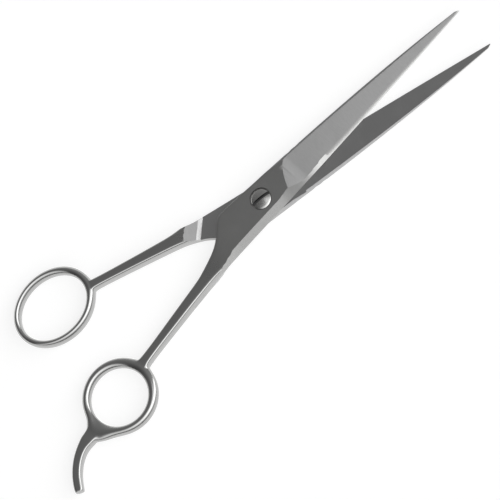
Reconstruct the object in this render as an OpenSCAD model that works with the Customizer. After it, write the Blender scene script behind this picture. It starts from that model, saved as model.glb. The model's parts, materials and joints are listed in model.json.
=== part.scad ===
// Hair cutting shears: two forged steel halves that turn on one slotted screw.
//
// Millimetres. The origin is on the pivot axis, level with the outer face of the
// thumb half, on which the shears lie. +X runs midway between the two blades to
// their tips, and +Z runs up through the screw head.
//
// Both halves are drawn in the same half frame: x along the blade from the pivot,
// y towards the spine, and z outwards from the plane where the blades shear.
// The thumb half is the same shape turned over about x.

/* [Pivot] */
// Angle between the blades as the shears lie
opening = 10; // [0:1:40]
// Thickness of each half round the pivot
half_t = 3.4; // [3:0.1:4]
// Gap between the flat inner faces
shear_gap = 0.08; // [0.04:0.02:0.2]
// Diameter of the screw head
head_d = 7.2; // [6:0.1:7.4]
// Diameter of the recess that the head sits in
recess_d = 7.9; // [7.6:0.1:9]
// Diameter of the screw's plain shoulder, which the finger half turns on
shoulder_d = 4.5; // [3.5:0.1:5]
// Diameter of the screw's threaded end
thread_d = 3.5; // [2.5:0.1:4]
// Radial clearance round the screw
screw_fit = 0.05; // [0.02:0.01:0.1]
// Width of the screwdriver slot
slot_w = 1.1; // [0.8:0.1:1.4]

/* [Blades] */
// Length of the finger half's blade from the pivot to its tip
finger_blade_l = 93.4; // [85:0.1:105]
// Length of the thumb half's blade from the pivot to its tip
thumb_blade_l = 94.8; // [85:0.1:105]
// Angle of the ground outer face
grind_angle = 14; // [12:0.5:15]
// Thickness left at the cutting edge
edge_t = 0.15; // [0.1:0.05:0.4]
// Radius of the wheel that runs out of the ground face
wheel_r = 28; // [20:1:40]
// Distance from the pivot to the end of the flat-ground stretch
grind_start = 20.5; // [18:0.5:26]

/* [Handles] */
// Thickness of the shanks and rings, across the shears
shank_t = 4.8; // [4:0.1:5.4]
// Inner diameter of the round finger ring
finger_d = 20.9; // [19:0.1:21.4]
// Wall of the finger ring
finger_wall = 3.7; // [3:0.1:4]
// Thickness of the finger ring
finger_t = 4.2; // [3.6:0.1:4.8]
// Inner length of the oval thumb ring
thumb_l = 25.8; // [23:0.1:27]
// Inner width of the oval thumb ring
thumb_w = 21.0; // [19:0.1:21.2]
// Wall of the thumb ring
thumb_wall = 2.9; // [2.5:0.1:3]
// Thickness of the thumb ring
thumb_t = 4.5; // [3.8:0.1:4.8]
// Thickness of the finger rest at its root
rest_t = 4.0; // [3.4:0.1:4.2]

/* [Hidden] */
$fn = 96;

// half frame: places along the forging
inner_z = shear_gap / 2;
spine_root = [6, 5.6];
heel = [6, -6.6];
heel_corner = [2, -7.2];
neck_outer = [-30, -8.4];
neck_inner = [-32.5, -4.7];
neck_end = [-32.5, -8.7];
shoulder_a = [-20.2, -9.0];
shoulder_b = [-30.2, 4.6];
shoulder_lean = 25;
finger_c = [-81.7, -15.3];
thumb_c = [-80.9, -12.3];
thumb_turn = -9;
ring_thin = 0.2;
top_slope = 3.2;
strip_lean = 24;
side_land = 0.3;
back_t = 0.54;
back_rise = 2;
back_lean = 45;
web_w = 10.5;
web_fade = 10;

// how the halves lie: the shear plane's height and each half's turn from +X
mid_z = half_t;
half_turn = opening / 2;

// screw
head_floor = half_t - 1.3;
dome_h = 0.5;
slot_depth = 0.9;
head_gap = 0.05;

// facets of the swept handles
BAR_SIDES = 12;
NECK_STEPS = 7;
RING_STEPS = 40;
SECTION_POWER = 0.8;

function quad(a, b, c, n) =
    [for (i = [0:n]) let (t = i / n) a*(1 - t)*(1 - t) + 2*b*t*(1 - t) + c*t*t];
function cubic(a, b, c, d, n) =
    [for (i = [0:n]) let (t = i / n, s = 1 - t) a*s*s*s + 3*b*s*s*t + 3*c*s*t*t + d*t*t*t];
function soft(v) = sign(v) * pow(abs(v), SECTION_POWER);

// Outline of a bar's section: a square with well rounded corners.
function section(w, h, n = BAR_SIDES) =
    [for (j = [0:n - 1]) [w / 2 * soft(cos(360 * j / n)), h / 2 * soft(sin(360 * j / n))]];

// Direction square to a flat path at its point i.
function across(path, i, closed) =
    let (n = len(path),
         a = path[closed ? (i + n - 1) % n : max(i - 1, 0)],
         b = path[closed ? (i + 1) % n : min(i + 1, n - 1)],
         d = (b - a) / norm(b - a))
    [-d[1], d[0]];

// A bar swept along a flat path; sizes holds [width, height] at each point.
module bar(path, sizes, closed = false) {
    n = len(path);
    m = BAR_SIDES;
    points = [
        for (i = [0:n - 1])
            let (side = across(path, i, closed))
            for (p = section(sizes[i][0], sizes[i][1]))
                [path[i][0] + side[0] * p[0], path[i][1] + side[1] * p[0], p[1]]
    ];
    last = closed ? n - 1 : n - 2;
    walls = [
        for (i = [0:last], j = [0:m - 1])
            [((i + 1) % n) * m + j, ((i + 1) % n) * m + (j + 1) % m, i * m + (j + 1) % m, i * m + j]
    ];
    caps = closed ? [] : [
        [for (j = [0:m - 1]) j],
        [for (j = [m - 1:-1:0]) (n - 1) * m + j]
    ];
    polyhedron(points, concat(walls, caps), convexity = 6);
}

// Where the spine turns in to the tip.
function spine_end(blade_l) = [blade_l - 2.6, 1.2];

// Plan of the blade, the flat round the pivot and the neck behind it.
module blade_plan(blade_l) {
    spine = quad(spine_root, [52, 4.9], spine_end(blade_l), 14);
    tip = [[blade_l, 0.3], [blade_l, 0]];
    edge = quad([blade_l - 0.6, -0.2], [48, -4.4], heel, 14);
    neck = quad([-18.5, 2.6], [-23.6, -3.4], neck_inner, NECK_STEPS);
    ricasso = [[-15.4, 5.8], [-14.4, 6.5], [-3, 6.6]];
    polygon(concat(
        spine, tip, edge, [heel_corner, neck_outer, neck_end],
        [for (i = [NECK_STEPS:-1:0]) neck[i]], ricasso
    ));
}

// What is ground off the inner side to make it flat, up to the leaning shoulder
// where the shank starts.
module inner_flat() {
    along = shoulder_b - shoulder_a;
    lean_run = 10 * tan(shoulder_lean);
    translate([shoulder_a[0], shoulder_a[1], inner_z])
        rotate([0, 0, atan2(along[1], along[0]) - 90])
            translate([0, 150, 0]) rotate([90, 0, 0]) linear_extrude(300)
                polygon([[0, 0], [160, 0], [160, -10], [-lean_run, -10]]);
}

// What the grinding wheel takes off the outer face. It lies along the cutting
// edge, rises to the spine at the grind angle and curls up at its rear end.
module ground_face(blade_l) {
    lie = atan2(-heel[1], blade_l - heel[0]) * 1.04;
    translate([24, -5.5, inner_z + edge_t])
        rotate([0, 0, lie]) rotate([grind_angle, 0, 0])
            translate([grind_start - 24, 40, 0]) rotate([90, 0, 0]) linear_extrude(60)
                polygon(concat(
                    [[100, 0]],
                    [for (i = [0:8]) let (a = 5 * i) [-wheel_r * sin(a), wheel_r * (1 - cos(a))]],
                    [[-20, 20], [100, 20]]
                ));
}

// Bevel along the outer corner of the blade's back, which is back_t thick at the tip
// and rises towards the pivot.
module spine_bevel(blade_l) {
    tip = spine_end(blade_l);
    lie = atan2(tip[1] - spine_root[1], tip[0] - spine_root[0]);
    translate([tip[0], tip[1], inner_z + back_t])
        rotate([0, back_rise, lie]) rotate([back_lean, 0, 0])
            translate([-83, 0, -10]) cube([95, 10, 40]);
}

// Leaning strip along the cutting-edge side of the flat round the pivot.
module side_strip() {
    lie = atan2(heel_corner[1] - neck_outer[1], heel_corner[0] - neck_outer[0]);
    translate([neck_outer[0], neck_outer[1], inner_z + side_land])
        rotate([0, 0, lie]) rotate([-strip_lean, 0, 0])
            translate([-14, -10, 0]) cube([54, 10, 12]);
}

// The top of the neck runs down to the shank's own thickness.
module neck_slope() {
    translate([-18, -30, half_t]) rotate([0, -top_slope, 0])
        translate([-40, 0, 0]) cube([40, 60, 10]);
}

module blade(blade_l) {
    difference() {
        translate([0, 0, -shank_t / 2]) linear_extrude(half_t + shank_t / 2) blade_plan(blade_l);
        inner_flat();
        ground_face(blade_l);
        spine_bevel(blade_l);
        side_strip();
        neck_slope();
    }
}

// Shank from the neck to its ring: it narrows as it goes.
module shank(ring_c, ring_reach) {
    run = ring_c - [-32, -6.9];
    stop = ring_c - run / norm(run) * ring_reach;
    path = cubic([-27, -6.3], [-36, -7.2], stop + [16, 2.8], stop, 10);
    sizes = [for (i = [0:10]) let (t = i / 10) [4.3 - 1.1 * t, shank_t - 0.05 - 0.4 * t]];
    bar(path, sizes);
}

// Ring round a hole of the given length and width. Its wall is full at the shank,
// which comes in at the angle from_a, and thins by ring_thin to the far side.
module ring(hole, wall, thick, from_a) {
    path_at = function(a) let (w = ring_wall(wall, a - from_a))
        [(hole[0] + w) / 2 * cos(a), (hole[1] + w) / 2 * sin(a)];
    angles = [for (i = [0:RING_STEPS - 1]) 360 * i / RING_STEPS];
    bar([for (a = angles) path_at(a)], [for (a = angles) [ring_wall(wall, a - from_a), thick]], closed = true);
}

function ring_wall(wall, away) = wall * (1 - ring_thin * (1 - cos(away)) / 2);

module finger_ring() {
    translate([finger_c[0], finger_c[1], 0])
        ring([finger_d, finger_d], finger_wall, finger_t, 0);
}

module thumb_ring() {
    translate([thumb_c[0], thumb_c[1], 0]) rotate([0, 0, thumb_turn])
        ring([thumb_l, thumb_w], thumb_wall, thumb_t, 0);
}

// Curved rest for the little finger, forged in one with the finger ring.
module finger_rest() {
    n = 14;
    path = cubic([-92.4, -17.6], [-101.2, -17.8], [-109.7, -21.2], [-113.9, -30.8], n);
    sizes = [for (i = [0:n]) let (t = i / n) [3.1 + web_w * exp(-web_fade * t), rest_t - 0.9 * t]];
    bar(path, sizes);
}

module thumb_half() {
    color("lightgray")
        translate([0, 0, mid_z]) rotate([0, 0, -half_turn]) rotate([180, 0, 0])
            difference() {
                union() {
                    blade(thumb_blade_l);
                    shank(thumb_c, (thumb_l + thumb_wall) / 2);
                    thumb_ring();
                }
                translate([0, 0, -10]) cylinder(d = thread_d + 2 * screw_fit, h = 20);
            }
}

module finger_half() {
    color("silver")
        translate([0, 0, mid_z]) rotate([0, 0, half_turn])
            difference() {
                union() {
                    blade(finger_blade_l);
                    shank(finger_c, (finger_d + finger_wall) / 2);
                    finger_ring();
                    finger_rest();
                }
                translate([0, 0, -10]) cylinder(d = shoulder_d + 2 * screw_fit, h = 20);
                translate([0, 0, head_floor]) cylinder(d = recess_d, h = 10);
            }
}

// Screw: threaded end, plain shoulder, and a low domed head with one slot.
module pivot_screw() {
    head_z = mid_z + head_floor + head_gap;
    rim_h = half_t - head_floor - head_gap;
    dome_r = (pow(head_d / 2, 2) + pow(dome_h, 2)) / (2 * dome_h);
    color("gainsboro")
        difference() {
            union() {
                cylinder(d = thread_d, h = mid_z);
                translate([0, 0, mid_z]) cylinder(d = shoulder_d, h = head_floor + head_gap + 0.1);
                translate([0, 0, head_z]) cylinder(d = head_d, h = rim_h);
                intersection() {
                    translate([0, 0, head_z + rim_h]) cylinder(d = head_d, h = dome_h);
                    translate([0, 0, head_z + rim_h + dome_h - dome_r]) sphere(r = dome_r);
                }
            }
            translate([-head_d, -slot_w / 2, head_z + rim_h + dome_h - slot_depth - 0.3])
                cube([2 * head_d, slot_w, slot_depth + 1]);
        }
}

thumb_half();
finger_half();
pivot_screw();
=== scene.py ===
import json
from math import atan2, cos, exp, hypot, pi, radians, sin, tan

import bmesh
import bpy
from mathutils import Matrix, Vector


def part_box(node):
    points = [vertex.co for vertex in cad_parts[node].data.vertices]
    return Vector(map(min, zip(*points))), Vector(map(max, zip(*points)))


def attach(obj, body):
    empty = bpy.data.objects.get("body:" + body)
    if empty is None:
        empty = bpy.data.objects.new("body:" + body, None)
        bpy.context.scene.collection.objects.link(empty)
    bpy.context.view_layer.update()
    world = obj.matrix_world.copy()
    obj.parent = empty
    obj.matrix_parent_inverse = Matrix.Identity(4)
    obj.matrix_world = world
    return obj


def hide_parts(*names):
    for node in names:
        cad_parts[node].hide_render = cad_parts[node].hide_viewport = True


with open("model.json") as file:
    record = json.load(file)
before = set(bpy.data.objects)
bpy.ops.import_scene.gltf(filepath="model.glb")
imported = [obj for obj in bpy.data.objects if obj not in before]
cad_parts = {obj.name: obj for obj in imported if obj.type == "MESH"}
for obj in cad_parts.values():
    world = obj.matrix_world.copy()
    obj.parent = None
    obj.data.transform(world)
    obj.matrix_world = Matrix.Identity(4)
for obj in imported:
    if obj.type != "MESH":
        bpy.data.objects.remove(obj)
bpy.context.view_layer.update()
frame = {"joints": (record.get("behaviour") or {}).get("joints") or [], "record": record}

# Hair cutting shears: two forged halves on one slotted screw. Each half is made as it
# is in the works: a smooth forged blank first, and then what the grinding wheels and
# the drill take off it.
#
# Both halves are drawn in one half frame: x along the blade from the pivot, y towards
# the spine, z outwards from the plane where the blades shear. Sizes are in millimetres
# times MM.
MM = 0.001
scene = bpy.context.scene


# ---------------------------------------------------------------- thumb half
# The lower half: blade, flat round the pivot, shank and oval thumb ring, forged in one
# from stainless steel. The handle is polished on a mop. The blade is ground on both
# faces and is left satin.

pivot = next(j for j in frame["joints"] if j["name"] == "blade_pivot")
pivot_height = pivot["pos_m"][2]
half_turn = -radians(pivot["range_deg"][0]) / 2
thumb_place = (
    Matrix.Translation((0, 0, pivot_height))
    @ Matrix.Rotation(-half_turn, 4, "Z")
    @ Matrix.Rotation(pi, 4, "X")
)

INNER_Z = 0.04 * MM
HALF_T = pivot_height
RING_SEGMENTS = 64
TURNED_SEGMENTS = 96
RING_CROWN = 0.25 * MM


def opening_centre(name):
    """Middle of one of the record's openings, at the height of the pivot."""
    box = next(o["box_m"] for o in frame["record"]["physics"]["openings"] if o["name"] == name)
    return Vector(((box[0][0] + box[1][0]) / 2, (box[0][1] + box[1][1]) / 2, pivot_height))


def angle_between(a, b):
    """Signed difference of two angles, in -pi to pi."""
    return (a - b + pi) % (2 * pi) - pi


def ring_blank(bm, centre, hole, wall, thick, corner, turn, wall_at, roots):
    """A forged ring, spun from its section round an oval hole. Returns the open edge
    loop that is left at each root, where a shank or a rest grows out of it."""
    length, width = hole
    high = thick / 2
    side = high - corner - RING_CROWN
    brow = high - RING_CROWN
    section = [
        (0, -side), (0, 0), (0, side), (corner, brow), (wall / 2, high), (wall - corner, brow),
        (wall, side), (wall, 0), (wall, -side), (wall - corner, -brow), (wall / 2, -high), (corner, -brow),
    ]
    step = 2 * pi / RING_SEGMENTS
    radius = width / 2
    start = Matrix.Rotation(roots[0] + step / 2, 3, "Z")
    verts = [bm.verts.new(start @ Vector((radius + d, 0, z))) for d, z in section]
    edges = [bm.edges.new((a, b)) for a, b in zip(verts, verts[1:] + verts[:1])]
    bmesh.ops.spin(
        bm, geom=verts + edges, cent=(0, 0, 0), axis=(0, 0, 1), angle=2 * pi,
        steps=RING_SEGMENTS, use_merge=True, use_duplicate=False,
    )
    ring_verts = list(bm.verts)
    loops = []
    for root in roots:
        nearest = round(angle_between(root, roots[0]) / step) * step + roots[0]
        patch = []
        for face in bm.faces:
            middle = face.calc_center_median()
            outside = hypot(middle.x, middle.y) - radius > wall - 0.75 * corner
            if outside and abs(angle_between(atan2(middle.y, middle.x), nearest)) < 1.6 * step:
                patch.append(face)
        before = {e for e in bm.edges if e.is_boundary}
        bmesh.ops.delete(bm, geom=patch, context="FACES")
        loops.append([e for e in bm.edges if e.is_boundary and e not in before])
    for v in ring_verts:
        if not v.is_valid:
            continue
        around = atan2(v.co.y, v.co.x)
        depth = (hypot(v.co.x, v.co.y) - radius) * wall_at(around) / wall
        lip = Vector((length / 2 * cos(around), width / 2 * sin(around), 0))
        out = Vector((cos(around) / length, sin(around) / width, 0)).normalized()
        v.co = centre + Matrix.Rotation(turn, 3, "Z") @ (lip + out * depth) + Vector((0, 0, v.co.z))
    return loops


def station(left, right, low, high, corner):
    """Fourteen points round a bar's section, which stands between two side points."""
    span = left - right
    inset = min(corner / span.length, 0.3)
    rise = min(corner, (high - low) * 0.3)
    across = [inset, 0.36, 0.64, 1 - inset]
    upright = [high - rise, (high + low) / 2, low + rise]
    return (
        [(right + span * f).to_3d() + Vector((0, 0, high)) for f in across]
        + [left.to_3d() + Vector((0, 0, z)) for z in upright]
        + [(right + span * f).to_3d() + Vector((0, 0, low)) for f in reversed(across)]
        + [right.to_3d() + Vector((0, 0, z)) for z in reversed(upright)]
    )


def grow(bm, stations):
    """Extrudes a loop from station to station and closes the end. Returns the first
    loop's edges."""
    verts = [bm.verts.new(p) for p in stations[0]]
    first = edges = [bm.edges.new(pair) for pair in zip(verts, verts[1:] + verts[:1])]
    for points in stations[1:]:
        grown = set(bmesh.ops.extrude_edge_only(bm, edges=edges)["geom"])
        verts = [next(e.other_vert(v) for e in v.link_edges if e.other_vert(v) in grown) for v in verts]
        for v, p in zip(verts, points):
            v.co = p
        edges = [bm.edges.get(pair) for pair in zip(verts, verts[1:] + verts[:1])]
    bmesh.ops.edgeloop_fill(bm, edges=edges)
    return first


def curve(a, b, c, d, t):
    """Point at t on the curve with these four control points."""
    s = 1 - t
    return a * s ** 3 + b * 3 * s * s * t + c * 3 * s * t * t + d * t ** 3


def bar_stations(points, widths, highs, corners):
    """Stations square to a flat path."""
    stations = []
    for i, p in enumerate(points):
        along = (points[min(i + 1, len(points) - 1)] - points[max(i - 1, 0)]).normalized()
        side = Vector((-along.y, along.x)) * widths[i] / 2
        stations.append(station(p + side, p - side, -highs[i], highs[i], corners[i]))
    return stations


def shank_stations(ring_edge, bend, neck, widths, highs):
    """Seven stations from the ring's edge to the neck, with their widths and half
    heights. All are in millimetres."""
    start, bend, neck = [Vector(p) * MM for p in (ring_edge, bend, neck)]
    path = [curve(start, start.lerp(neck, 0.33), bend, neck, i / 6) for i in range(7)]
    return bar_stations(path, [w * MM for w in widths], [h * MM for h in highs], [0.65 * MM] * 7)


def blade_stations(blade_l):
    """Neck, flat and blade of the blank, from behind the shoulder out to the tip. Each
    row holds the left and right points and the top and bottom."""
    rows = [
        ((-30.4, -3.3), (-29.4, -9.0), 2.62, -2.4, 0.65),
        ((-26.4, -2.1), (-25.6, -9.0), 2.92, -2.4, 0.5),
        ((-22.8, -0.6), (-21.6, -8.8), 3.22, -2.4, 0.35),
        ((-19.6, 1.9), (-17.6, -8.8), 3.4, -2.4, 0.22),
        ((-17.3, 4.3), (-13.8, -8.7), 3.4, -2.4, 0.16),
        ((-15.7, 5.9), (-10.5, -8.5), 3.4, -2.4, 0.12),
        ((-14.6, 6.55), (-8.0, -8.3), 3.4, -2.4, 0.12),
        ((-12.8, 6.62), (-5.5, -8.1), 3.4, -2.4, 0.12),
        ((-6.0, 6.6), (-2.0, -7.9), 3.4, -2.0, 0.12),
        ((0.0, 6.25), (2.0, -7.6), 3.4, -1.6, 0.12),
        ((6.0, 6.0), (6.5, -7.2), 3.4, -1.2, 0.12),
    ]
    tip = blade_l / MM
    spine = [Vector(p) for p in ((6, 6.0), (30, 7.9), (67, 5.0), (tip - 2.6, 1.7))]
    edge = [Vector(p) for p in ((6.5, -7.2), (35, -5.8), (66, -3.5), (tip - 1.6, -0.8))]
    for i in range(1, 9):
        t = i / 8
        rows.append((curve(*spine, t), curve(*edge, t), 3.4, -1.2, 0.12))
    rows.append(((tip - 0.9, 0.72), (tip - 0.5, -0.12), 3.4, -1.2, 0.1))
    rows.append(((tip, 0.36), (tip, 0.0), 3.4, -1.2, 0.1))
    return [
        station(Vector(left) * MM, Vector(right) * MM, low * MM, high * MM, corner * MM)
        for left, right, high, low, corner in rows
    ]


def cutter(name, profile, depth, place, material):
    """A prism that a grinding wheel or drill clears: profile in x and z, pushed along y."""
    bm = bmesh.new()
    face = bm.faces.new([bm.verts.new((x, -depth / 2, z)) for x, z in profile])
    pushed = bmesh.ops.extrude_face_region(bm, geom=[face])
    moved = [g for g in pushed["geom"] if isinstance(g, bmesh.types.BMVert)]
    bmesh.ops.translate(bm, verts=moved, vec=(0, depth, 0))
    bmesh.ops.recalc_face_normals(bm, faces=bm.faces)
    bmesh.ops.transform(bm, matrix=place, verts=bm.verts)
    return new_object(name, bm, [material])


def drill(name, radius, low, high, material):
    """A round cutter on the pivot axis."""
    bm = bmesh.new()
    bmesh.ops.create_cone(
        bm, cap_ends=True, segments=TURNED_SEGMENTS, radius1=radius, radius2=radius, depth=high - low,
        matrix=Matrix.Translation((0, 0, (low + high) / 2)),
    )
    return new_object(name, bm, [material])


def new_object(name, bm, materials):
    """Turns a bmesh into an object in the scene."""
    mesh = bpy.data.meshes.new(name)
    bm.to_mesh(mesh)
    bm.free()
    for m in materials:
        mesh.materials.append(m)
    obj = bpy.data.objects.new(name, mesh)
    scene.collection.objects.link(obj)
    return obj


def wheel_pass(name, path, leans, unders, material):
    """What a pass of a wheel clears, to the right of the way it goes along a path. Its
    face leans in from the upright by one angle above the path and another below."""
    stations = []
    for i, (p, lean, under) in enumerate(zip(path, leans, unders)):
        along = (path[min(i + 1, len(path) - 1)] - path[max(i - 1, 0)]).to_2d().normalized()
        right = Vector((along.y, -along.x, 0))
        up = (Vector((0, 0, cos(radians(lean)))) - right * sin(radians(lean))) * 6 * MM
        drop = (Vector((0, 0, -1)) - right * tan(radians(under))) * 3 * MM
        far = right * 16 * MM
        stations.append((p + drop, p, p + up, p + up + far, p + drop + far))
    bm = bmesh.new()
    bmesh.ops.edgeloop_fill(bm, edges=grow(bm, stations))
    bmesh.ops.recalc_face_normals(bm, faces=bm.faces)
    return new_object(name, bm, [material])


def rise(x, start, stop):
    """Rises from 0 to 1 between two places along the half, in millimetres."""
    return min(max((x / MM - start) / (stop - start), 0), 1)


def trace(steps, *points):
    """Points along the curve with these four control points."""
    controls = [Vector(p) * MM for p in points]
    return [curve(*controls, i / steps) for i in range(steps + 1)]


# Angles that the ground faces lean, in degrees from the upright.
SHOULDER_LEAN = 48
BROW_LEAN = 72
STRIP_LEAN = 29
EDGE_LEAN = 57
STRIP_UNDER = 28
SPINE_LEAN = 68
BACK_LEAN = 25
# The outer face is ground at this angle by a wheel of this radius, and falls a little
# towards the tip.
GRIND_ANGLE = radians(13.3)
GRIND_FALL = radians(0.42)
WHEEL_R = 17 * MM
SHOULDER_H = 1.1 * MM


def wheel_cuts(blade_l, steels):
    """The flats and bevels that are ground on every half."""
    shoulder_a = Vector((-20.2, -9.0))
    shoulder_b = Vector((-30.2, 4.6))
    run = shoulder_b - shoulder_a
    wall_x = -SHOULDER_H * tan(radians(SHOULDER_LEAN))
    wall_z = INNER_Z - SHOULDER_H
    brow_x = wall_x - (wall_z + 0.02) * tan(radians(BROW_LEAN))
    inner_flat = cutter(
        "inner_flat", [(0, INNER_Z), (0.3, INNER_Z), (0.3, -0.02), (brow_x, -0.02), (wall_x, wall_z)], 0.6,
        Matrix.Translation(shoulder_a.to_3d() * MM) @ Matrix.Rotation(atan2(run.y, run.x) - pi / 2, 4, "Z"),
        steels["inner"],
    )

    tip = blade_l / MM
    edge_lie = atan2(6.55, tip - 6) * 1.04
    arc = [(-WHEEL_R * sin(radians(a)), WHEEL_R * (1 - cos(radians(a)))) for a in range(0, 62, 2)]
    face = cutter(
        "outer_face", [(0.12, 0)] + arc + [(-0.02, 0.02), (0.12, 0.02)], 0.06,
        Matrix.Translation(Vector((24, -5.5, 0.7)) * MM)
        @ Matrix.Rotation(edge_lie, 4, "Z") @ Matrix.Rotation(GRIND_FALL, 4, "Y")
        @ Matrix.Rotation(GRIND_ANGLE, 4, "X")
        @ Matrix.Translation((-6.6 * MM, 0, 0)), steels["outer"],
    )
    side = trace(16, (-42, -10.25, 0.3), (-28, -8.85, 0.3), (-10, -7.6, 0.3), (4, -6.85, 0.25))
    rim = trace(24, (4, -6.85, 0.25), (20, -5.75, 0), (60, -2.8, 0.06), (tip + 2, 0.3, 0.06))
    path = side[:-1] + rim
    leans = [
        STRIP_LEAN * rise(p.x, -30, -19) + (EDGE_LEAN - STRIP_LEAN) * rise(p.x, 4, 24) for p in path
    ]
    unders = [STRIP_UNDER * rise(p.x, -34, -22) for p in path]
    edge = wheel_pass("edge", path, leans, unders, steels["strip"])
    path = trace(24, (tip + 2, 0.7, 0.28), (66, 4.0, 1.05), (36, 5.2, 2.4), (9, 5.8, 3.2))
    path.append(Vector((2, 6.2, 3.8)) * MM)
    upright = [0] * len(path)
    spine = wheel_pass("spine", path, [SPINE_LEAN] * len(path), upright, steels["outer"])
    leans = [BACK_LEAN * rise(p.x, 8, 22) for p in path]
    path = [Vector((p.x, p.y + p.z * tan(radians(lean)), INNER_Z)) for p, lean in zip(path, leans)]
    back = wheel_pass("back", path, leans, upright, steels["strip"])
    return [inner_flat, face, edge, spine, back]


def finish_half(name, bm, cuts, place, steels):
    """Subdivides the blank, takes the cuts off it, sets it in place and keeps its ground
    edges crisp."""
    bmesh.ops.recalc_face_normals(bm, faces=bm.faces)
    half = new_object(name, bm, [steels["forging"]])
    for face in half.data.polygons:
        face.use_smooth = True
    smooth = half.modifiers.new("smooth", "SUBSURF")
    smooth.levels = smooth.render_levels = 2
    for cut in cuts:
        grind = half.modifiers.new(cut.name, "BOOLEAN")
        grind.operation = "DIFFERENCE"
        grind.solver = "MANIFOLD"
        grind.material_mode = "TRANSFER"
        grind.object = cut
    bpy.context.view_layer.update()
    mesh = bpy.data.meshes.new_from_object(half.evaluated_get(bpy.context.evaluated_depsgraph_get()))
    mesh.transform(place)
    half.modifiers.clear()
    half.data = mesh
    mesh.name = name
    for cut in cuts:
        bpy.data.objects.remove(cut)
    tidy = bmesh.new()
    tidy.from_mesh(mesh)
    bmesh.ops.remove_doubles(tidy, verts=tidy.verts, dist=0.002 * MM)
    bmesh.ops.dissolve_degenerate(tidy, dist=0.001 * MM, edges=tidy.edges)
    for edge in tidy.edges:
        edge.smooth = len(edge.link_faces) == 2 and edge.calc_face_angle(0) < radians(20)
    for face in tidy.faces:
        face.smooth = True
    tidy.to_mesh(mesh)
    tidy.free()
    flats = half.modifiers.new("flats", "WEIGHTED_NORMAL")
    flats.keep_sharp = True
    return half


def group(name, inputs, outputs):
    """An empty shader node group with float or vector sockets. Returns it with its
    input and output nodes."""
    tree = bpy.data.node_groups.new(name, "ShaderNodeTree")
    for label, kind, value in inputs:
        socket = tree.interface.new_socket(label, in_out="INPUT", socket_type=kind)
        if value is not None:
            socket.default_value = value
    for label in outputs:
        tree.interface.new_socket(label, in_out="OUTPUT", socket_type="NodeSocketFloat")
    return tree, tree.nodes.new("NodeGroupInput"), tree.nodes.new("NodeGroupOutput")


def node(tree, kind, inputs=None, **settings):
    """A node with its settings. An input is either a value or a socket to link."""
    made = tree.nodes.new("ShaderNode" + kind)
    for key, value in settings.items():
        setattr(made, key, value)
    for key, value in (inputs or {}).items():
        if isinstance(value, bpy.types.NodeSocket):
            tree.links.new(value, made.inputs[key])
        else:
            made.inputs[key].default_value = value
    return made


def math(tree, operation, *values):
    """The output of a math node."""
    return node(tree, "Math", dict(enumerate(values)), operation=operation).outputs["Value"]


def remap(tree, value, from_min, from_max, to_min, to_max):
    """The output of a clamped map range node."""
    inputs = {"Value": value, "From Min": from_min, "From Max": from_max, "To Min": to_min, "To Max": to_max}
    return node(tree, "MapRange", inputs).outputs["Result"]


def wheel_grain_group():
    """Fine lines that a wheel leaves across the blade, and the cloudy patches in them."""
    tree, given, result = group(
        "wheel_grain",
        [("Vector", "NodeSocketVector", None), ("Turn", "NodeSocketFloat", 0.0),
         ("Lines", "NodeSocketFloat", 9000.0), ("Length", "NodeSocketFloat", 500.0)],
        ["Grain", "Cloud"],
    )
    turned = node(tree, "VectorRotate", {"Vector": given.outputs["Vector"], "Angle": given.outputs["Turn"]},
                  rotation_type="Z_AXIS")
    stretch = node(tree, "CombineXYZ", {"X": given.outputs["Lines"], "Y": given.outputs["Length"],
                                        "Z": given.outputs["Length"]})
    spread = node(tree, "VectorMath", {0: turned.outputs["Vector"], 1: stretch.outputs["Vector"]},
                  operation="MULTIPLY")
    lines = node(tree, "TexNoise", {"Vector": spread.outputs["Vector"], "Scale": 1.0, "Detail": 3.0,
                                    "Roughness": 0.6})
    cloud = node(tree, "TexNoise", {"Vector": given.outputs["Vector"], "Scale": 120.0, "Detail": 2.0})
    tree.links.new(remap(tree, lines.outputs["Fac"], 0.3, 0.7, 0.0, 1.0), result.inputs["Grain"])
    tree.links.new(remap(tree, cloud.outputs["Fac"], 0.3, 0.7, 0.0, 1.0), result.inputs["Cloud"])
    return tree


def handling_group():
    """What use leaves on polished steel: hairline scratches and faint finger marks."""
    tree, given, result = group(
        "handling", [("Vector", "NodeSocketVector", None)], ["Scratches", "Smudge"],
    )
    total = None
    for angle, fine in ((0.5, 260.0), (-0.9, 340.0)):
        turned = node(tree, "VectorRotate", {"Vector": given.outputs["Vector"], "Angle": angle},
                      rotation_type="Z_AXIS")
        spread = node(tree, "VectorMath", {0: turned.outputs["Vector"], 1: (1.0, 0.12, 1.0)},
                      operation="MULTIPLY")
        noise = node(tree, "TexNoise", {"Vector": spread.outputs["Vector"], "Scale": fine, "Detail": 1.0})
        gap = math(tree, "ABSOLUTE", math(tree, "SUBTRACT", noise.outputs["Fac"], 0.5))
        line = remap(tree, gap, 0.0, 0.006, 1.0, 0.0)
        total = line if total is None else math(tree, "MAXIMUM", total, line)
    patches = node(tree, "TexNoise", {"Vector": given.outputs["Vector"], "Scale": 90.0, "Detail": 3.0,
                                      "Distortion": 0.6})
    tree.links.new(total, result.inputs["Scratches"])
    tree.links.new(remap(tree, patches.outputs["Fac"], 0.5, 0.72, 0.0, 1.0), result.inputs["Smudge"])
    return tree


WHEEL_GRAIN = wheel_grain_group()
HANDLING = handling_group()


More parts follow.
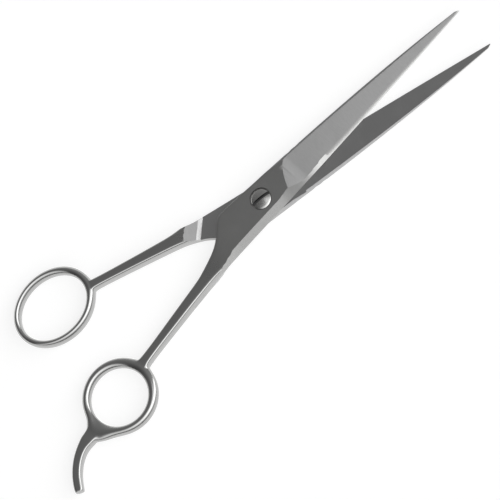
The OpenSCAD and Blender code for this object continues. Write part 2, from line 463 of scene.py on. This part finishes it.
def steel(name, colour, rough, grain, turn, polished=None):
    """Stainless steel. grain is how strongly the wheel lines show. polished is the
    roughness of the handle, which the satin of the flats runs out into."""
    material = bpy.data.materials.new(name)
    material.use_nodes = True
    tree = material.node_tree
    shader = tree.nodes["Principled BSDF"]
    shader.inputs["Metallic"].default_value = 1.0
    coords = node(tree, "TexCoord").outputs["Object"]
    wheel = node(tree, "Group", node_tree=WHEEL_GRAIN)
    tree.links.new(coords, wheel.inputs["Vector"])
    wheel.inputs["Turn"].default_value = turn
    marks = node(tree, "Group", node_tree=HANDLING)
    tree.links.new(coords, marks.inputs["Vector"])
    lines = wheel.outputs["Grain"]
    base = rough
    if polished is not None:
        along = node(tree, "SeparateXYZ", {"Vector": coords}).outputs["X"]
        satin = remap(tree, along, -0.034, -0.022, 0.0, 1.0)
        lines = math(tree, "MULTIPLY", lines, satin)
        base = math(tree, "MULTIPLY_ADD", satin, rough - polished, polished)
    cloudy = math(tree, "MULTIPLY_ADD", wheel.outputs["Cloud"], 0.03, base)
    grained = math(tree, "MULTIPLY_ADD", lines, 0.12 * grain, cloudy)
    smudged = math(tree, "MULTIPLY_ADD", marks.outputs["Smudge"], 0.05, grained)
    scratched = math(tree, "MULTIPLY_ADD", marks.outputs["Scratches"], 0.08, smudged)
    tree.links.new(scratched, shader.inputs["Roughness"])
    shade = math(tree, "MULTIPLY_ADD", lines, -0.1 * grain, 1.0)
    dulled = math(tree, "MULTIPLY_ADD", marks.outputs["Smudge"], -0.04, shade)
    tint = node(tree, "Mix", {"Factor": 1.0, "A": (*colour, 1.0)}, data_type="RGBA", blend_type="MULTIPLY")
    tree.links.new(dulled, tint.inputs["B"])
    tree.links.new(tint.outputs["Result"], shader.inputs["Base Color"])
    height = math(tree, "MULTIPLY_ADD", marks.outputs["Scratches"], -0.4, lines)
    bump = node(tree, "Bump", {"Height": height, "Strength": 0.25, "Distance": 0.004 * MM})
    tree.links.new(bump.outputs["Normal"], shader.inputs["Normal"])
    return material


def half_steels(half, turn):
    """The finishes on one half, whose blade is turned by this much."""
    return {
        "forging": steel(half + "_forging", (0.47, 0.47, 0.465), 0.28, 0.5, turn, polished=0.13),
        "inner": steel(half + "_inner_face", (0.46, 0.46, 0.46), 0.3, 0.7, turn),
        "outer": steel(half + "_outer_face", (0.48, 0.48, 0.48), 0.3, 1.0, turn),
        "strip": steel(half + "_bevels", (0.47, 0.47, 0.465), 0.24, 0.6, turn),
    }


steels = half_steels("thumb", half_turn)

thumb_ring_at = (thumb_place.inverted() @ opening_centre("thumb_hole")).to_2d()
THUMB_HOLE = (25.8 * MM, 21.0 * MM)
THUMB_WALL = 2.9 * MM
THUMB_TURN = radians(-9)
THUMB_ROOT = radians(17)


def thumb_wall(around):
    shank_root = exp(-(angle_between(around, THUMB_ROOT) / radians(12)) ** 2)
    return THUMB_WALL * (1 - 0.2 * (1 - cos(around)) / 2) + 0.5 * MM * shank_root


bm = bmesh.new()
roots = ring_blank(
    bm, thumb_ring_at.to_3d(), THUMB_HOLE, THUMB_WALL, 4.6 * MM, 0.85 * MM, THUMB_TURN,
    thumb_wall, [THUMB_ROOT],
)
shank = shank_stations(
    (-65.4, -10.8), (-44, -7.8), (-33.6, -6.4),
    (3.65, 3.6, 3.75, 3.95, 4.2, 4.5, 4.85), (2.12, 2.15, 2.2, 2.26, 2.32, 2.38, 2.4),
)
THUMB_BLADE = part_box("thumb_half")[1].x / cos(half_turn)
bmesh.ops.bridge_loops(bm, edges=roots[0] + grow(bm, shank + blade_stations(THUMB_BLADE)))
cuts = wheel_cuts(THUMB_BLADE, steels) + [drill("tapped_hole", 1.8 * MM, -0.01, 0.01, steels["strip"])]
thumb_half = finish_half("thumb_forging", bm, cuts, thumb_place, steels)
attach(thumb_half, "thumb_half")
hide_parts("thumb_half")


# --------------------------------------------------------------- finger half
# The upper half: the same blank turned over, with a round finger ring. A curved rest
# for the little finger grows out of the far side of the ring through a flat web. The
# screw head sits in a recess drilled in its outer face.

steels = half_steels("finger", -half_turn)
finger_place = Matrix.Translation((0, 0, pivot_height)) @ Matrix.Rotation(half_turn, 4, "Z")
finger_ring_at = (finger_place.inverted() @ opening_centre("finger_hole")).to_2d()
FINGER_HOLE = 20.9 * MM
FINGER_WALL = 3.6 * MM
SHANK_ROOT = radians(11)
REST_ROOT = radians(192)


def finger_wall(around):
    shank_root = exp(-(angle_between(around, SHANK_ROOT) / radians(12)) ** 2)
    past = angle_between(around, REST_ROOT)
    web = exp(-(past / radians(22 if past > 0 else 14)) ** 2)
    return FINGER_WALL * (1 - 0.2 * (1 - cos(around)) / 2) + (0.5 * shank_root + 4.4 * web) * MM


bm = bmesh.new()
roots = ring_blank(
    bm, finger_ring_at.to_3d(), (FINGER_HOLE, FINGER_HOLE), FINGER_WALL, 4.3 * MM, 0.95 * MM, 0,
    finger_wall, [SHANK_ROOT, REST_ROOT],
)
shank = shank_stations(
    (-66.6, -12.4), (-44, -8.55), (-33.6, -6.95),
    (3.85, 3.75, 3.9, 4.1, 4.3, 4.55, 4.85), (2.05, 2.1, 2.18, 2.25, 2.32, 2.38, 2.4),
)
FINGER_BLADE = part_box("finger_half")[1].x / cos(half_turn)
bmesh.ops.bridge_loops(bm, edges=roots[0] + grow(bm, shank + blade_stations(FINGER_BLADE)))
rest_points = [Vector(p) * MM for p in ((-99.6, -18.7), (-104.6, -19.4), (-110.2, -23.2), (-113.6, -30.4))]
rest_path = [curve(*rest_points, i / 8) for i in range(9)]
rest_path.append(rest_path[-1] + (rest_path[-1] - rest_path[-2]).normalized() * 0.3 * MM)
rest = bar_stations(
    rest_path, [w * MM for w in (5.0, 4.2, 3.8, 3.6, 3.5, 3.45, 3.4, 3.4, 3.3, 2.6)],
    [h * MM for h in (2.0, 1.98, 1.95, 1.9, 1.85, 1.8, 1.75, 1.7, 1.65, 1.2)], [0.6 * MM] * 10,
)
bmesh.ops.bridge_loops(bm, edges=roots[1] + grow(bm, rest))
cuts = wheel_cuts(FINGER_BLADE, steels) + [
    drill("screw_hole", 2.3 * MM, -0.01, 0.01, steels["strip"]),
    drill("head_recess", 3.95 * MM, HALF_T - 1.3 * MM, 0.01, steels["strip"]),
]
finger_half = finish_half("finger_forging", bm, cuts, finger_place, steels)
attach(finger_half, "finger_half")
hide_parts("finger_half")


# --------------------------------------------------------------- pivot screw
# One turned steel screw: a threaded end in the thumb half, a plain shoulder for the
# finger half and a low domed head with a screwdriver slot.

screw_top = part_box("pivot_screw")[1].z
THREAD_R = 1.75 * MM
SHOULDER_R = 2.25 * MM
HEAD_R = 3.6 * MM
SLOT_W = 1.1 * MM
head_under = HALF_T * 2 - 1.25 * MM
rim = HALF_T * 2 - 0.38 * MM
profile = [
    (0, 0), (THREAD_R - 0.2 * MM, 0), (THREAD_R, 0.2 * MM), (THREAD_R, HALF_T - 0.3 * MM),
    (SHOULDER_R, HALF_T), (SHOULDER_R, head_under), (HEAD_R - 0.1 * MM, head_under),
    (HEAD_R, head_under + 0.1 * MM), (HEAD_R, rim),
]
dome_steps = 10
for i in range(1, dome_steps + 1):
    r = (HEAD_R - 0.12 * MM) * (1 - i / dome_steps)
    profile.append((r, screw_top - (screw_top - rim - 0.1 * MM) * (r / HEAD_R) ** 2))
bm = bmesh.new()
verts = [bm.verts.new((r, 0, z)) for r, z in profile]
edges = [bm.edges.new((a, b)) for a, b in zip(verts, verts[1:])]
bmesh.ops.spin(
    bm, geom=verts + edges, cent=(0, 0, 0), axis=(0, 0, 1), angle=2 * pi, steps=TURNED_SEGMENTS,
    use_merge=True, use_duplicate=False,
)
bmesh.ops.remove_doubles(bm, verts=bm.verts, dist=0.001 * MM)
bmesh.ops.recalc_face_normals(bm, faces=bm.faces)
turned_steel = steel("turned_screw", (0.56, 0.56, 0.55), 0.2, 0.0, 0.0)
tree = turned_steel.node_tree
coords = node(tree, "TexCoord").outputs["Object"]
flat = node(tree, "VectorMath", {0: coords, 1: (1.0, 1.0, 0.0)}, operation="MULTIPLY").outputs["Vector"]
radius = node(tree, "VectorMath", {0: flat}, operation="LENGTH").outputs["Value"]
rings = node(tree, "TexNoise", {"W": math(tree, "MULTIPLY", radius, 7000.0), "Scale": 1.0, "Detail": 2.0},
             noise_dimensions="1D").outputs["Fac"]
bump = node(tree, "Bump", {"Height": rings, "Strength": 0.6, "Distance": 0.012 * MM})
tree.links.new(bump.outputs["Normal"], tree.nodes["Principled BSDF"].inputs["Normal"])
screw = new_object("slotted_screw", bm, [turned_steel])
slot_floor = rim - 0.4 * MM
# The slot's walls and floor get a near-black steel, darker than the head it is cut in: painted shade in the
# recess of the slot.
slot_painted_shade = steel("slot_painted_shade", (0.16, 0.16, 0.16), 0.4, 0.3, 0.0)
slot = cutter(
    "slot", [(-0.01, slot_floor), (0.01, slot_floor), (0.01, 0.02), (-0.01, 0.02)], SLOT_W,
    Matrix.Identity(4), slot_painted_shade,
)
cut = screw.modifiers.new("slot", "BOOLEAN")
cut.operation = "DIFFERENCE"
cut.solver = "EXACT"
cut.material_mode = "TRANSFER"
cut.object = slot
bpy.context.view_layer.update()
mesh = bpy.data.meshes.new_from_object(screw.evaluated_get(bpy.context.evaluated_depsgraph_get()))
screw.modifiers.clear()
screw.data = mesh
bpy.data.objects.remove(slot)
tidy = bmesh.new()
tidy.from_mesh(mesh)
for edge in tidy.edges:
    edge.smooth = len(edge.link_faces) == 2 and edge.calc_face_angle(0) < radians(25)
for face in tidy.faces:
    face.smooth = True
tidy.to_mesh(mesh)
tidy.free()
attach(screw, "pivot_screw")
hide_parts("pivot_screw")


# --------------------------------------------------------------------- stage
# A plain white table, a soft studio round it, and a long lens from nearly overhead.

bm = bmesh.new()
bmesh.ops.create_grid(bm, x_segments=1, y_segments=1, size=1.5)
table_paint = bpy.data.materials.new("white_table")
table_paint.use_nodes = True
shader = table_paint.node_tree.nodes["Principled BSDF"]
shader.inputs["Base Color"].default_value = (0.3, 0.3, 0.3, 1)
shader.inputs["Roughness"].default_value = 0.9
shader.inputs["Emission Color"].default_value = (1, 1, 1, 1)
shader.inputs["Emission Strength"].default_value = 0.78
floor = new_object("table", bm, [table_paint])

AZIMUTH = radians(11.5)
TILT = radians(25)
ROLL = radians(-50)
tilted = Matrix.Rotation(AZIMUTH, 4, "Z") @ Matrix.Rotation(TILT, 4, "X")
camera_data = bpy.data.cameras.new("camera")
camera_data.lens = 1500
camera_data.clip_end = 10
camera_data.clip_start = 0.01
camera = bpy.data.objects.new("camera", camera_data)
aim = Vector((-13.9, -10.8, 3.4)) * MM
back = tilted.to_3x3() @ Vector((0, 0, 1))
camera.matrix_world = Matrix.Translation(aim + back * 7.112) @ tilted @ Matrix.Rotation(ROLL, 4, "Z")
scene.collection.objects.link(camera)
scene.camera = camera

# The studio is an arch over the table: dark overhead on the far side, with one broad
# bright band on the near side that grows stronger towards the tips.
world = bpy.data.worlds.new("studio")
scene.world = world
world.use_nodes = True
tree = world.node_tree
tree.nodes.clear()
towards = node(tree, "TexCoord").outputs["Generated"]
turned = node(tree, "VectorRotate", {"Vector": towards, "Angle": -AZIMUTH}, rotation_type="Z_AXIS")
parts = node(tree, "SeparateXYZ", {"Vector": turned.outputs["Vector"]}).outputs
over = math(tree, "DIVIDE", math(tree, "ARCTAN2", parts["Z"], parts["Y"]), pi)
arch = node(tree, "ValToRGB", {"Fac": over})
arch.color_ramp.interpolation = "EASE"
stops = [
    (0.0, 0.12), (0.30, 0.085), (0.44, 0.095), (0.52, 0.13), (0.60, 0.32),
    (0.68, 0.82), (0.8, 0.82), (0.88, 0.2), (1.0, 0.13),
]
while len(arch.color_ramp.elements) < len(stops):
    arch.color_ramp.elements.new(0.5)
for element, (where, value) in zip(arch.color_ramp.elements, stops):
    element.position = where
    element.color = (value, value, value, 1)
strength = math(tree, "MULTIPLY_ADD", parts["X"], 1.5, 2.4)
lit = node(tree, "Background", {"Color": arch.outputs["Color"], "Strength": strength})
seen = node(tree, "Background", {"Color": (0.95, 0.95, 0.95, 1)})
to_camera = node(tree, "LightPath").outputs["Is Camera Ray"]
mix = node(tree, "MixShader", {
    "Fac": to_camera, 1: lit.outputs["Background"], 2: seen.outputs["Background"],
})
node(tree, "OutputWorld", {"Surface": mix.outputs["Shader"]})
panel = bpy.data.lights.new("panel", "AREA")
panel.shape = "RECTANGLE"
panel.size = 0.16
panel.size_y = 0.14
panel.energy = 0.045
lamp = bpy.data.objects.new("panel", panel)
lamp.location = (0.11, -0.01, 0.35)
lamp.visible_camera = False
scene.collection.objects.link(lamp)
scene.view_settings.view_transform = "Standard"
